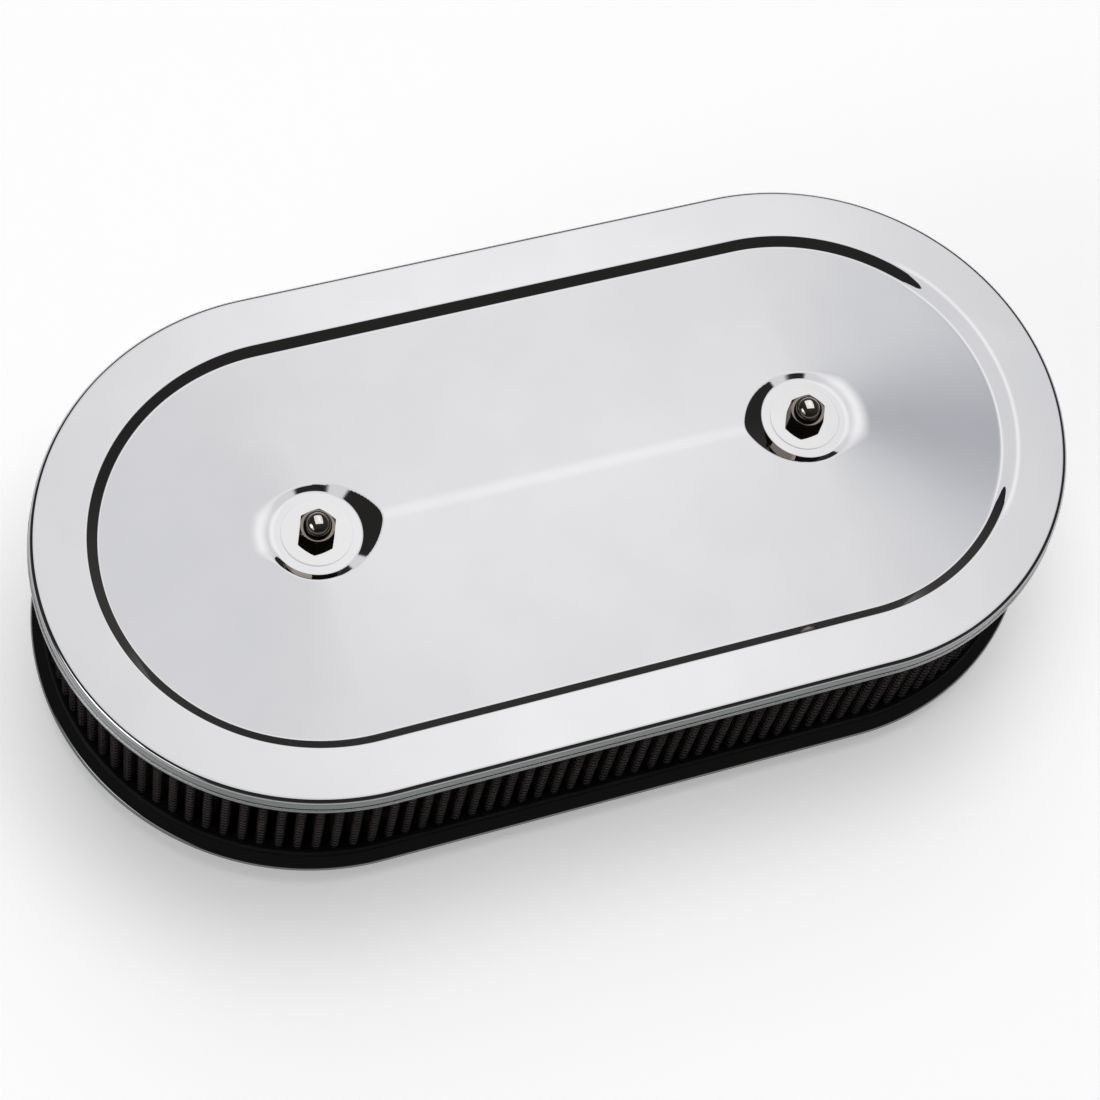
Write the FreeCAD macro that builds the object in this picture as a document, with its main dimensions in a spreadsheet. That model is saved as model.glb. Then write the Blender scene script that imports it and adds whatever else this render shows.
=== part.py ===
import FreeCAD, Part
import math
import os
import Sketcher
from FreeCAD import Placement, Rotation, Vector

# An oval air cleaner for two carburetors in line. X runs from stud to stud, Z is up, and the
# origin is midway between the studs at the level of the neck gaskets' undersides.

os.makedirs("parts", exist_ok=True)
doc = FreeCAD.newDocument("airCleaner")

# Driving sizes in millimetres, and the nuts' turns in degrees. Radii of the oval are measured from
# the line between the studs.
driving = {
    "studSpacing": 215.9,
    "sheetThick": 1.0,
    "bendInside": 1.0,
    "stepOuter": 92.7,
    "stepRun": 4.3,
    "stepBend": 2.0,
    "lidGap": 3.2,
    "lidCorner": 2.6,
    "lidStep": 3.0,
    "flangeDrop": 9.5,
    "hemHeight": 2.2,
    "hemProud": 0.5,
    "hemBend": 0.45,
    "ridgeRise": 7.5,
    "ridgeBend": 25.0,
    "dishDepth": 3.8,
    "dishGap": 3.9,
    "dishRun": 9.5,
    "dishBend": 2.0,
    "studRadius": 3.175,
    "studHoleGap": 0.5,
    "studTail": 1.5,
    "studChamfer": 0.6,
    "studLowerThread": 16.0,
    "studUpperThread": 24.0,
    "shankRelief": 0.325,
    "threadGap": 0.05,
    "washerRadius": 14.85,
    "washerThick": 0.8,
    "washerEdge": 0.25,
    "nutFlats": 14.3,
    "nutHex": 6.0,
    "nutNeck": 0.4,
    "nutDome": 5.9,
    "nutHold": 7.6,
    "nutSpare": 0.9,
    "nutChamfer": 0.8,
    "nutFootChamfer": 0.35,
    "leftNutTurn": 9.0,
    "rightNutTurn": 5.0,
    "sealRingRadius": 5.4,
    "sealRingThick": 1.2,
    "sealRingGap": 0.05,
    "elementHeight": 73.0,
    "elementGap": 0.2,
    "sealProud": 1.0,
    "sealHeight": 6.0,
    "sealEdge": 1.0,
    "pleatCount": 148,
    "pleatDepth": 17.1,
    "pleatFold": 2.4,
    "mediaThick": 1.2,
    "screenThick": 0.4,
    "cageThick": 0.6,
    "cageGap": 0.3,
    "baseRim": 18.0,
    "baseLedge": 5.0,
    "baseLip": 2.3,
    "baseStep": 3.0,
    "neckBore": 65.5,
    "neckLedge": 6.5,
    "neckLip": 2.2,
    "gasketThick": 3.0,
    "gasketGap": 0.2,
}

sheet = doc.addObject("Spreadsheet::Sheet", "sizes")
for row, (word, number) in enumerate(driving.items(), start=1):
    sheet.set(f"A{row}", word)
    sheet.set(f"B{row}", str(number))
    sheet.setAlias(f"B{row}", word)
doc.recompute()

# Heights and radii that follow from the driving sizes, as expressions
halfSpacing = "sizes.studSpacing / 2"
rimUnder = "(sizes.baseRim + sizes.elementHeight)"
rimTop = f"({rimUnder} + sizes.sheetThick)"
ridge = f"({rimTop} + sizes.ridgeRise)"
panelEdge = f"({rimTop} - sizes.lidStep)"
flangeFoot = f"({rimTop} - sizes.flangeDrop)"
dishTop = f"({ridge} - sizes.dishDepth)"
nutSeat = f"({dishTop} + sizes.washerThick)"
studTop = f"({nutSeat} + sizes.nutHold)"
floorTop = "(sizes.baseRim + sizes.baseStep)"
outsideBend = "(sizes.bendInside + sizes.sheetThick)"
stepInner = "(sizes.stepOuter - sizes.stepRun)"
elementInner = "(sizes.stepOuter + sizes.stepBend / 2 + sizes.elementGap)"
pleatTip = f"({elementInner} + sizes.pleatDepth)"
sealRadius = f"({pleatTip} + sizes.sealProud)"
lidInset = f"({sealRadius} + sizes.lidGap)"
lidOuter = f"({lidInset} + sizes.sheetThick)"
baseOuter = f"({sealRadius} + sizes.baseLedge)"
neckOuter = "(sizes.neckBore + sizes.neckLedge)"
dishFloor = "(sizes.washerRadius + sizes.dishGap)"
dishMouth = f"({dishFloor} + sizes.dishRun)"
lowerSealTop = "(sizes.baseRim + sizes.sealHeight)"
upperSealFoot = f"({rimUnder} - sizes.sealHeight)"
studHole = "(sizes.studRadius + sizes.studHoleGap)"
sealRecess = "(sizes.sealRingRadius + sizes.sealRingGap)"

# How close a point has to be to count as on an edge, in millimetres
slack = 0.01


def size(expression):
    """The value of an expression on the sheet."""
    value = sheet.evalExpression(expression)
    return float(getattr(value, "Value", value))


def minus(expression):
    return "0" if expression == "0" else f"-({expression})"


def newBody(label):
    made = doc.addObject("PartDesign::Body", label)
    made.Label = label
    return made


def plane(body, role):
    """One of the body's own origin planes, such as XZ_Plane."""
    return next(item for item in body.Origin.OriginFeatures if item.Role == role)


def newSketch(body, name, role, shift=None, turned=False):
    """A sketch on an origin plane, moved along its X by an expression and maybe turned about its Y."""
    sketch = body.newObject("Sketcher::SketchObject", name)
    sketch.AttachmentSupport = [(plane(body, role), "")]
    sketch.MapMode = "FlatFace"
    if shift:
        turn = Rotation(Vector(0, 1, 0), 180 if turned else 0)
        sketch.AttachmentOffset = Placement(Vector(size(shift), 0, 0), turn)
        sketch.setExpression("AttachmentOffset.Base.x", shift)
    return sketch


def place(sketch, line, axis, expression):
    """Hold the first end of a line at a distance from the sketch's origin."""
    if expression == "0":
        sketch.addConstraint(Sketcher.Constraint("PointOnObject", line, 1, -2 if axis == "X" else -1))
        return
    number = sketch.addConstraint(Sketcher.Constraint("Distance" + axis, -1, 1, line, 1, size(expression)))
    sketch.setExpression(f"Constraints[{number}]", expression)


def outline(sketch, corners):
    """A closed outline of straight lines whose corners are pairs of expressions."""
    spots = [Vector(size(across), size(up), 0) for across, up in corners]
    first = sketch.GeometryCount
    count = len(spots)
    for index, spot in enumerate(spots):
        sketch.addGeometry(Part.LineSegment(spot, spots[(index + 1) % count]), False)
    for index, (across, up) in enumerate(corners):
        line = first + index
        following = first + (index + 1) % count
        sketch.addConstraint(Sketcher.Constraint("Coincident", line, 2, following, 1))
        place(sketch, line, "X", across)
        place(sketch, line, "Y", up)


def circle(sketch, radius):
    """A circle about the sketch's origin."""
    line = sketch.addGeometry(Part.Circle(Vector(0, 0, 0), Vector(0, 0, 1), size(radius)), False)
    sketch.addConstraint(Sketcher.Constraint("Coincident", line, 3, -1, 1))
    number = sketch.addConstraint(Sketcher.Constraint("Radius", line, size(radius)))
    sketch.setExpression(f"Constraints[{number}]", radius)


def oval(sketch, radius):
    """A closed oval of two straights and two half circles about the studs."""
    reach = size(halfSpacing)
    wide = size(radius)
    up = Vector(0, 0, 1)
    east = Part.ArcOfCircle(Part.Circle(Vector(reach, 0, 0), up, wide), -math.pi / 2, math.pi / 2)
    west = Part.ArcOfCircle(Part.Circle(Vector(-reach, 0, 0), up, wide), math.pi / 2, math.pi * 1.5)
    back = Part.LineSegment(Vector(reach, wide, 0), Vector(-reach, wide, 0))
    front = Part.LineSegment(Vector(-reach, -wide, 0), Vector(reach, -wide, 0))
    a, b, c, d = [sketch.addGeometry(part, False) for part in (east, back, west, front)]
    sketch.addConstraint(
        [
            Sketcher.Constraint("Tangent", a, 2, b, 1),
            Sketcher.Constraint("Tangent", b, 2, c, 1),
            Sketcher.Constraint("Tangent", c, 2, d, 1),
            Sketcher.Constraint("Tangent", d, 2, a, 1),
            Sketcher.Constraint("PointOnObject", a, 3, -1),
            Sketcher.Constraint("Symmetric", a, 3, c, 3, -1, 1),
        ]
    )
    number = sketch.addConstraint(Sketcher.Constraint("DistanceX", -1, 1, a, 3, reach))
    sketch.setExpression(f"Constraints[{number}]", halfSpacing)
    number = sketch.addConstraint(Sketcher.Constraint("Radius", a, wide))
    sketch.setExpression(f"Constraints[{number}]", radius)


def turn(body, kind, sketch, degrees=360):
    """Revolve a sketch about its own vertical axis: kind is Revolution or Groove."""
    made = body.newObject("PartDesign::" + kind, sketch.Name + kind)
    made.Profile = sketch
    made.ReferenceAxis = (sketch, ["V_Axis"])
    made.Angle = degrees
    made.Midplane = True
    return made


def pad(body, sketch, length, both=False):
    made = body.newObject("PartDesign::Pad", sketch.Name + "Pad")
    made.Profile = sketch
    made.SideType = "Symmetric" if both else "One side"
    made.setExpression("Length", length)
    return made


def ovalRadius(point):
    """Distance from the line between the studs."""
    beyond = max(abs(point.x) - size(halfSpacing), 0)
    return math.hypot(beyond, point.y)


def edgesWhere(shape, test):
    """Names of the edges that pass a test at three points along them."""
    found = []
    for number, edge in enumerate(shape.Edges, start=1):
        low, high = edge.FirstParameter, edge.LastParameter
        spots = [edge.valueAt(low + (high - low) * part) for part in (0.1, 0.5, 0.9)]
        if all(test(spot) for spot in spots):
            found.append(f"Edge{number}")
    return found


def near(value, target):
    return abs(value - target) < slack


def ovalRim(radius, height):
    """A test for the edge of an oval at a radius and a height, given as expressions."""
    wide, level = size(radius), size(height)
    return lambda spot: near(ovalRadius(spot), wide) and near(spot.z, level)


def studRim(radius, height):
    """A test for a circle about either stud."""
    wide, level, reach = size(radius), size(height), size(halfSpacing)
    return lambda spot: near(math.hypot(abs(spot.x) - reach, spot.y), wide) and near(spot.z, level)


def roundOff(body, name, radius, *tests):
    """Fillet the edges that pass any of the tests."""
    doc.recompute()
    base = body.Tip
    names = [edge for test in tests for edge in edgesWhere(base.Shape, test)]
    if not names:
        raise ValueError("no edge to round for " + name)
    made = body.newObject("PartDesign::Fillet", name)
    made.Base = (base, names)
    made.setExpression("Radius", radius)
    return made


def ovalBlock(label, corners):
    """A body over the whole oval, from a section that starts and ends on the centre line."""
    body = newBody(label)
    across = newSketch(body, label + "Straight", "YZ_Plane")
    mirrored = [(minus(wide), level) for wide, level in reversed(corners[1:-1])]
    outline(across, corners + mirrored)
    pad(body, across, "sizes.studSpacing", both=True)
    for name, shift, turned in (("East", halfSpacing, False), ("West", minus(halfSpacing), True)):
        end = newSketch(body, label + name, "XZ_Plane", shift, turned)
        outline(end, corners)
        turn(body, "Revolution", end, 180)
    return body


def sinkDishes(body, drop):
    """Cut the two round dishes into the roof, lowered by an expression."""
    floor = f"({dishTop} - {drop})"
    mouth = f"({ridge} - {drop})"
    above = f"({ridge} + sizes.ridgeRise)"
    section = [
        ("0", floor),
        (dishFloor, floor),
        (dishMouth, mouth),
        (dishMouth, above),
        ("0", above),
    ]
    for name, shift, turned in (("East", halfSpacing, True), ("West", minus(halfSpacing), False)):
        dish = newSketch(body, body.Label + "Dish" + name, "XZ_Plane", shift, turned)
        outline(dish, section)
        turn(body, "Groove", dish)
    level = size(mouth)
    halfway = (size(floor) + level) / 2
    inner, outer, reach = size(dishFloor), size(dishMouth), size(halfSpacing)

    def crest(spot):
        return near(spot.y, 0) and near(spot.z, level)

    def dishEdge(spot):
        away = math.hypot(abs(spot.x) - reach, spot.y)
        return inner < away < outer + slack and spot.z > halfway

    roundOff(body, body.Label + "Floors", "sizes.dishBend", studRim(dishFloor, floor))
    roundOff(body, body.Label + "Ridge", "sizes.ridgeBend", crest)
    roundOff(body, body.Label + "Mouths", "sizes.dishBend", dishEdge)


def lidBlock(label, outer, drop, foot, hem):
    """The lid's outside, or with a drop of one thickness the space under it."""
    top = f"({rimTop} - {drop})"
    edge = f"({panelEdge} - {drop})"
    section = [
        ("0", f"({ridge} - {drop})"),
        (stepInner, edge),
        ("sizes.stepOuter", top),
        (outer, top),
    ]
    if hem:
        hemTop = f"({flangeFoot} + sizes.hemHeight)"
        proud = f"({outer} + sizes.hemProud)"
        section += [(outer, hemTop), (proud, hemTop), (proud, foot)]
    else:
        section += [(outer, foot)]
    section += [("0", foot)]
    body = ovalBlock(label, section)
    sinkDishes(body, drop)
    steps = (ovalRim(stepInner, edge), ovalRim("sizes.stepOuter", top))
    roundOff(body, label + "Steps", "sizes.stepBend", *steps)
    roundOff(body, label + "Corner", f"sizes.lidCorner - {drop}", ovalRim(outer, top))
    if hem:
        rims = (ovalRim(proud, hemTop), ovalRim(proud, foot))
        roundOff(body, label + "Hem", "sizes.hemBend", *rims)
    return body


def makeLid():
    outside = lidBlock("lidOutside", lidOuter, "0", flangeFoot, hem=True)
    below = f"({flangeFoot} - sizes.hemHeight)"
    inside = lidBlock("lidInside", lidInset, "sizes.sheetThick", below, hem=False)
    shell = doc.addObject("Part::Cut", "lidShell")
    shell.Base = outside
    shell.Tool = inside
    tall = f"({ridge} - {flangeFoot})"
    holes = [studCylinder("lidHole" + side, side, studHole, flangeFoot, tall) for side in sides]
    both = doc.addObject("Part::MultiFuse", "lidHoles")
    both.Shapes = holes
    lid = doc.addObject("Part::Cut", "lid")
    lid.Base = shell
    lid.Tool = both
    return lid


def studCylinder(name, side, radius, foot, height):
    """A cylinder about one stud's axis."""
    made = doc.addObject("Part::Cylinder", name)
    made.setExpression("Radius", radius)
    made.setExpression("Height", height)
    made.setExpression("Placement.Base.x", sides[side])
    made.setExpression("Placement.Base.z", foot)
    return made


def makeBase():
    thick = "sizes.sheetThick"
    rim = "sizes.baseRim"
    foot = "(sizes.baseRim - sizes.baseLip)"
    skin = f"({baseOuter} - sizes.sheetThick)"
    section = [
        ("0", floorTop),
        (stepInner, floorTop),
        ("sizes.stepOuter", rim),
        (baseOuter, rim),
        (baseOuter, foot),
        (skin, foot),
        (skin, f"({rim} - {thick})"),
        ("sizes.stepOuter", f"({rim} - {thick})"),
        (stepInner, f"({floorTop} - {thick})"),
        ("0", f"({floorTop} - {thick})"),
    ]
    body = ovalBlock("base_pan", section)
    inner = f"({neckOuter} - sizes.sheetThick)"
    ledge = "(sizes.gasketThick + sizes.sheetThick)"
    lip = "(sizes.gasketThick - sizes.neckLip)"
    skirt = "(sizes.neckBore + sizes.sheetThick)"
    above = f"({floorTop} + {thick})"
    hole = [("0", above), (inner, above), (inner, "sizes.gasketThick"), ("0", "sizes.gasketThick")]
    neck = [
        (neckOuter, floorTop),
        (neckOuter, "sizes.gasketThick"),
        (skirt, "sizes.gasketThick"),
        (skirt, lip),
        ("sizes.neckBore", lip),
        ("sizes.neckBore", ledge),
        (inner, ledge),
        (inner, floorTop),
    ]
    for name, shift in (("East", halfSpacing), ("West", minus(halfSpacing))):
        cut = newSketch(body, "neckHole" + name, "XZ_Plane", shift)
        outline(cut, hole)
        turn(body, "Groove", cut)
    for name, shift in (("East", halfSpacing), ("West", minus(halfSpacing))):
        ring = newSketch(body, "neck" + name, "XZ_Plane", shift)
        outline(ring, neck)
        turn(body, "Revolution", ring)
    tops = (ovalRim(stepInner, floorTop), ovalRim("sizes.stepOuter", rim))
    unders = (
        ovalRim(stepInner, f"({floorTop} - {thick})"),
        ovalRim("sizes.stepOuter", f"({rim} - {thick})"),
    )
    roundOff(body, "baseSteps", "sizes.stepBend", *tops, *unders)
    outsides = (
        ovalRim(baseOuter, rim),
        studRim(inner, floorTop),
        studRim(neckOuter, "sizes.gasketThick"),
    )
    roundOff(body, "baseOutsideBends", outsideBend, *outsides)
    insides = (
        ovalRim(skin, f"({rim} - {thick})"),
        studRim(neckOuter, f"({floorTop} - {thick})"),
        studRim(inner, ledge),
    )
    roundOff(body, "baseInsideBends", "sizes.bendInside", *insides)
    return body


def ringSketch(body, name, outer, inner, draw):
    """Two outlines, one in the other, on the ground plane."""
    sketch = newSketch(body, name, "XY_Plane")
    draw(sketch, outer)
    draw(sketch, inner)
    return sketch


def lift(body, height, across=None):
    """Place a body at a height, and maybe on a stud's axis."""
    body.setExpression("Placement.Base.z", height)
    if across:
        body.setExpression("Placement.Base.x", across)


def makeSeal(label, foot):
    """One of the two moulded rings that the pleats stand in."""
    body = newBody(label)
    pad(body, ringSketch(body, label + "Plan", sealRadius, elementInner, oval), "sizes.sealHeight")
    rims = (ovalRim(sealRadius, "sizes.sealHeight"), ovalRim(sealRadius, "0"))
    roundOff(body, label + "Edges", "sizes.sealEdge", *rims)
    lift(body, foot)
    return body


def makeCage():
    """The straight mesh ring that holds the pleats from inside."""
    body = newBody("inner_screen")
    outer = f"({elementInner} + sizes.cageThick)"
    tall = f"({upperSealFoot} - {lowerSealTop})"
    pad(body, ringSketch(body, "innerScreenPlan", outer, elementInner, oval), tall)
    lift(body, lowerSealTop)
    return body


def onOval(along, radius, middle):
    """A point at a distance along the oval of the middle radius, moved out or in to another radius."""
    reach = size(halfSpacing)
    straight, bend = 2 * reach, math.pi * middle
    along %= 2 * (straight + bend)
    if along < straight:
        return Vector(-reach + along, -radius, 0)
    if along < straight + bend:
        angle = (along - straight) / middle - math.pi / 2
        return Vector(reach + radius * math.cos(angle), radius * math.sin(angle), 0)
    if along < 2 * straight + bend:
        return Vector(reach - (along - straight - bend), radius, 0)
    angle = (along - 2 * straight - bend) / middle + math.pi / 2
    return Vector(-reach + radius * math.cos(angle), radius * math.sin(angle), 0)


def offsetLoop(spots, distance):
    """The same closed loop moved outwards by a distance, with its corners kept sharp."""
    moved = []
    count = len(spots)
    for index, spot in enumerate(spots):
        before = (spot - spots[index - 1]).normalize()
        after = (spots[(index + 1) % count] - spot).normalize()
        left = Vector(before.y, -before.x, 0)
        right = Vector(after.y, -after.x, 0)
        middle = (left + right).normalize()
        moved.append(spot + middle * (distance / middle.dot(left)))
    return moved


def pleatLine():
    """The pleats' middle line, folded flat at each tip and each root."""
    half = size("sizes.mediaThick / 2")
    tip = size(f"{pleatTip} - sizes.screenThick") - half
    root = size(f"{elementInner} + sizes.cageThick + sizes.cageGap") + half
    middle = (tip + root) / 2
    count = int(size("sizes.pleatCount"))
    pitch = (4 * size(halfSpacing) + 2 * math.pi * middle) / count
    fold = size("sizes.pleatFold") / 2
    spots = []
    for index in range(count):
        centre = (index + 0.5) * pitch
        spots.append(onOval(centre - fold, tip, middle))
        spots.append(onOval(centre + fold, tip, middle))
        spots.append(onOval(centre + pitch / 2 - fold, root, middle))
        spots.append(onOval(centre + pitch / 2 + fold, root, middle))
    return spots


def pleatedWall(label, inner, outer):
    """A folded wall between two offsets from the pleats' middle line."""
    line = pleatLine()
    faces = []
    for distance in (outer, inner):
        loop = offsetLoop(line, distance)
        faces.append(Part.Face(Part.makePolygon(loop + loop[:1])))
    section = faces[0].cut(faces[1])
    foot = size(lowerSealTop)
    solid = section.extrude(Vector(0, 0, size(upperSealFoot) - foot))
    made = doc.addObject("Part::Feature", label)
    made.Label = label
    made.Shape = solid.Solids[0]
    made.Placement = Placement(Vector(0, 0, foot), Rotation())
    return made


def makeTurned(label, across, foot, section):
    """A round piece about one stud's axis, from half its section."""
    body = newBody(label)
    sketch = newSketch(body, label + "Section", "XZ_Plane")
    outline(sketch, section)
    turn(body, "Revolution", sketch)
    lift(body, foot, across)
    return body


def makeStud(side):
    nose = "sizes.studChamfer"
    tall = f"({studTop} - sizes.studTail)"
    slim = "(sizes.studRadius - sizes.studChamfer)"
    shank = "(sizes.studRadius - sizes.shankRelief)"
    section = [
        ("0", "0"),
        (slim, "0"),
        ("sizes.studRadius", nose),
        ("sizes.studRadius", "sizes.studLowerThread"),
        (shank, "sizes.studLowerThread"),
        (shank, f"({tall} - sizes.studUpperThread)"),
        ("sizes.studRadius", f"({tall} - sizes.studUpperThread)"),
        ("sizes.studRadius", f"({tall} - {nose})"),
        (slim, tall),
        ("0", tall),
    ]
    return makeTurned(side + "_stud", sides[side], "sizes.studTail", section)


def makeWasher(side):
    body = newBody(side + "_washer")
    plan = ringSketch(body, side + "WasherPlan", "sizes.washerRadius", studHole, circle)
    pad(body, plan, "sizes.washerThick")
    rim = groundRim("sizes.washerRadius", "sizes.washerThick")
    roundOff(body, side + "WasherEdge", "sizes.washerEdge", rim)
    lift(body, dishTop, sides[side])
    return body


def groundRim(radius, height):
    """A test for a circle about the body's own axis."""
    wide, level = size(radius), size(height)
    return lambda spot: near(math.hypot(spot.x, spot.y), wide) and near(spot.z, level)


def makeSealRing(side):
    body = newBody(side + "_nut_seal")
    plan = ringSketch(body, side + "SealPlan", "sizes.sealRingRadius", studHole, circle)
    pad(body, plan, "sizes.sealRingThick")
    lift(body, nutSeat, sides[side])
    return body


def makeGasket(side):
    body = newBody(side + "_neck_gasket")
    inner = "(sizes.neckBore + sizes.sheetThick + sizes.gasketGap)"
    pad(body, ringSketch(body, side + "GasketPlan", neckOuter, inner, circle), "sizes.gasketThick")
    lift(body, "0", sides[side])
    return body


def makeNut(side):
    """A hexagon trimmed by a turned outline, with a dome, a threaded bore and a recess for its ring."""
    corner = "(sizes.nutFlats / cos(30) / 2)"
    turned = newBody(side + "NutTurned")
    sketch = newSketch(turned, side + "NutOutline", "XZ_Plane")
    shoulder = "(sizes.nutFlats / 2)"
    neckTop = "(sizes.nutHex + sizes.nutNeck)"
    outline(
        sketch,
        [
            ("0", "0"),
            (f"({corner} - sizes.nutFootChamfer)", "0"),
            (corner, "sizes.nutFootChamfer"),
            (corner, "(sizes.nutHex - sizes.nutChamfer)"),
            (shoulder, "sizes.nutHex"),
            ("sizes.nutDome", "sizes.nutHex"),
            ("sizes.nutDome", neckTop),
            ("0", neckTop),
        ],
    )
    turn(turned, "Revolution", sketch)
    bar = doc.addObject("Part::Prism", side + "NutBar")
    bar.Polygon = 6
    bar.setExpression("Circumradius", corner)
    bar.setExpression("Height", neckTop)
    hexagon = doc.addObject("Part::MultiCommon", side + "NutHexagon")
    hexagon.Shapes = [turned, bar]
    dome = doc.addObject("Part::Sphere", side + "NutDome")
    dome.setExpression("Radius", "sizes.nutDome")
    dome.setExpression("Placement.Base.z", neckTop)
    capped = doc.addObject("Part::MultiFuse", side + "NutCapped")
    capped.Shapes = [hexagon, dome]
    bore = doc.addObject("Part::Cylinder", side + "NutBore")
    bore.setExpression("Radius", "sizes.studRadius + sizes.threadGap")
    bore.setExpression("Height", "sizes.nutHold + sizes.nutSpare")
    recess = doc.addObject("Part::Cylinder", side + "NutRecess")
    recess.setExpression("Radius", sealRecess)
    recess.setExpression("Height", "sizes.sealRingThick + sizes.sealRingGap")
    tools = doc.addObject("Part::MultiFuse", side + "NutTools")
    tools.Shapes = [bore, recess]
    nut = doc.addObject("Part::Cut", side + "_nut")
    nut.Base = capped
    nut.Tool = tools
    nut.Placement.Rotation = Rotation(Vector(0, 0, 1), size(f"sizes.{side}NutTurn"))
    nut.setExpression("Placement.Rotation.Angle", f"sizes.{side}NutTurn * 1 deg")
    lift(nut, nutSeat, sides[side])
    return nut


sides = {"left": minus(halfSpacing), "right": halfSpacing}

half = size("sizes.mediaThick / 2")
pieces = [
    makeLid(),
    makeBase(),
    makeSeal("top_seal", upperSealFoot),
    makeSeal("bottom_seal", "sizes.baseRim"),
    makeCage(),
    pleatedWall("filter_media", -half, half),
    pleatedWall("outer_screen", half, half + size("sizes.screenThick")),
]
for side in sides:
    pieces += [makeStud(side), makeWasher(side), makeNut(side), makeSealRing(side), makeGasket(side)]

doc.recompute()
for item in doc.Objects:
    if "Invalid" in item.State or "Error" in item.State:
        raise RuntimeError(f"{item.Label} did not recompute")
for piece in pieces:
    if piece.Shape.isNull() or not piece.Shape.isValid() or len(piece.Shape.Solids) != 1:
        raise RuntimeError(f"{piece.Label} has no valid solid")
for piece in pieces:
    piece.Shape.exportStep(f"parts/{piece.Label}.step")
    box = piece.Shape.BoundBox
    print(f"{piece.Label}: {piece.Shape.Volume:.0f} mm3, z {box.ZMin:.2f} to {box.ZMax:.2f}")
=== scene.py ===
import bpy
import math
from mathutils import Matrix, Vector


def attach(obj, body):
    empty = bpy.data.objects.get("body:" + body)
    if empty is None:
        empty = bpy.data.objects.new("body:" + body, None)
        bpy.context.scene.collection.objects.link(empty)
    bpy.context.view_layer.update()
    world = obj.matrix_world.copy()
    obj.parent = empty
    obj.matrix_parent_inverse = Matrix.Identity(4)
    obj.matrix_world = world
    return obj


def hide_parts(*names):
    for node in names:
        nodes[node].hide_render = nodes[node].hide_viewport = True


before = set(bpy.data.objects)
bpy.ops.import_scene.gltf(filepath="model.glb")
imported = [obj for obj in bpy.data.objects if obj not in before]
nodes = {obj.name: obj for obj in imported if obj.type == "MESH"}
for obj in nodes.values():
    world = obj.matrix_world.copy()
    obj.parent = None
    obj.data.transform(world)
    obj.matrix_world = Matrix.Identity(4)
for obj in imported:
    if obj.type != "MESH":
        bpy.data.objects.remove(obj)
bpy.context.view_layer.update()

mm = 0.001


camera = {
    "azimuth": -33.330,     # degrees, 0 looks along +Y
    "elevation": 63.282,
    "roll": 16.822,
    "distance": 1.25265,    # metres from the middle of the lid's rim
    "slide": (-0.00610, -0.02994),
    "target": (0.0, 0.0, 0.092),
    "lens": 98.18,
    "sensor": 36,
    "clip": (0.05, 60),
}


def makeCamera():
    a, e, r = (math.radians(camera[word]) for word in ("azimuth", "elevation", "roll"))
    back = Vector((math.sin(a) * math.cos(e), -math.cos(a) * math.cos(e), math.sin(e)))
    right = Vector((math.cos(a), math.sin(a), 0))
    up = back.cross(right)
    across = right * math.cos(r) + up * math.sin(r)
    rise = up * math.cos(r) - right * math.sin(r)
    place = Vector(camera["target"]) + back * camera["distance"]
    place += across * camera["slide"][0] + rise * camera["slide"][1]
    made = bpy.data.objects.new("camera", bpy.data.cameras.new("camera"))
    made.data.lens = camera["lens"]
    made.data.sensor_width = camera["sensor"]
    made.data.clip_start, made.data.clip_end = camera["clip"]
    bpy.context.scene.collection.objects.link(made)
    made.matrix_world = Matrix.Translation(place) @ Matrix((across, rise, back)).transposed().to_4x4()
    bpy.context.scene.camera = made


makeCamera()
print("camera made")


def addNode(tree, kind, **values):
    made = tree.nodes.new(kind)
    for word, value in values.items():
        setattr(made, word, value)
    return made


def feed(tree, source, target):
    tree.links.new(source, target)


def maths(tree, operation, first, second=None, third=None):
    made = addNode(tree, "ShaderNodeMath", operation=operation)
    for slot, item in enumerate((first, second, third)):
        if item is None:
            continue
        if isinstance(item, (int, float)):
            made.inputs[slot].default_value = item
        else:
            feed(tree, item, made.inputs[slot])
    return made.outputs[0]


def ramp(tree, value, low, high, start=0.0, end=1.0):
    made = addNode(tree, "ShaderNodeMapRange", interpolation_type="SMOOTHSTEP")
    feed(tree, value, made.inputs["Value"])
    for word, number in (("From Min", low), ("From Max", high), ("To Min", start), ("To Max", end)):
        made.inputs[word].default_value = number
    return made.outputs["Result"]


def newGroup(name, inputs, outputs):
    tree = bpy.data.node_groups.new(name, "ShaderNodeTree")
    for word, kind, start in inputs:
        made = tree.interface.new_socket(name=word, in_out="INPUT", socket_type=kind)
        if start is not None:
            made.default_value = start
    for word, kind in outputs:
        tree.interface.new_socket(name=word, in_out="OUTPUT", socket_type=kind)
    return tree, addNode(tree, "NodeGroupInput").outputs, addNode(tree, "NodeGroupOutput").inputs


def useGroup(tree, group, **values):
    made = addNode(tree, "ShaderNodeGroup", node_tree=group)
    for word, value in values.items():
        made.inputs[word].default_value = value
    return made


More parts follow.
